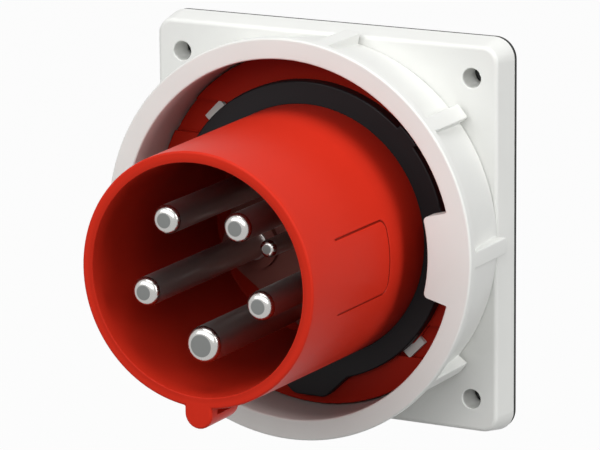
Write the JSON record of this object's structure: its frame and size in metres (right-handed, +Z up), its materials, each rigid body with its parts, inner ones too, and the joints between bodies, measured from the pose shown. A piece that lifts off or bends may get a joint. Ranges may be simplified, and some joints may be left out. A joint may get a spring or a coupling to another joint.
{
  "type": "industrial power inlet connector",
  "caption": "Square-flanged panel inlet for heavy three-phase power: red sleeve with rounded pins inside, black face seal, turning grey bayonet ring and screw terminals behind.",
  "frame": {"origin": "centre of the panel face, on the axis of the sleeve", "axes": "+Z up, -Y towards the open front of the sleeve, +X to the right seen from the front"},
  "size_m": [0.1132, 0.1126, 0.1132],
  "materials": {
    "housing_grey": "satin moulded",
    "sleeve_red": "satin moulded",
    "seal_rubber": "matt",
    "gasket_rubber": "matt",
    "carrier_dark": "satin moulded",
    "nickel": "turned and nickel-plated",
    "zinc_steel": "zinc-plated"
  },
  "bodies": {
    "housing": {"flange_gasket": "gasket_rubber", "mounting_flange": "housing_grey", "inlet_sleeve": "sleeve_red", "face_seal": "seal_rubber", "housing_seal": "seal_rubber", "insert_gasket": "seal_rubber", "contact_carrier": "carrier_dark", "terminal_block": "carrier_dark", "pin_earth": "nickel", "pin_neutral": "nickel", "pin_l1": "nickel", "pin_l2": "nickel", "pin_l3": "nickel", "pin_pilot": "nickel", "phase_pin_seals": "seal_rubber", "earth_pin_seal": "seal_rubber", "pilot_pin_seal": "seal_rubber", "terminal_screws": "zinc_steel", "pilot_screw": "zinc_steel", "carrier_screws": "zinc_steel", "housing_screws": "zinc_steel"},
    "ring": {"bayonet_ring": "housing_grey"}
  },
  "joints": [
    {"name": "ring_turn", "type": "hinge", "parent": "housing", "child": "ring", "pos_m": [0, 0, 0], "axis": [0, 1, 0], "range_deg": [0, 40]}
  ]
}
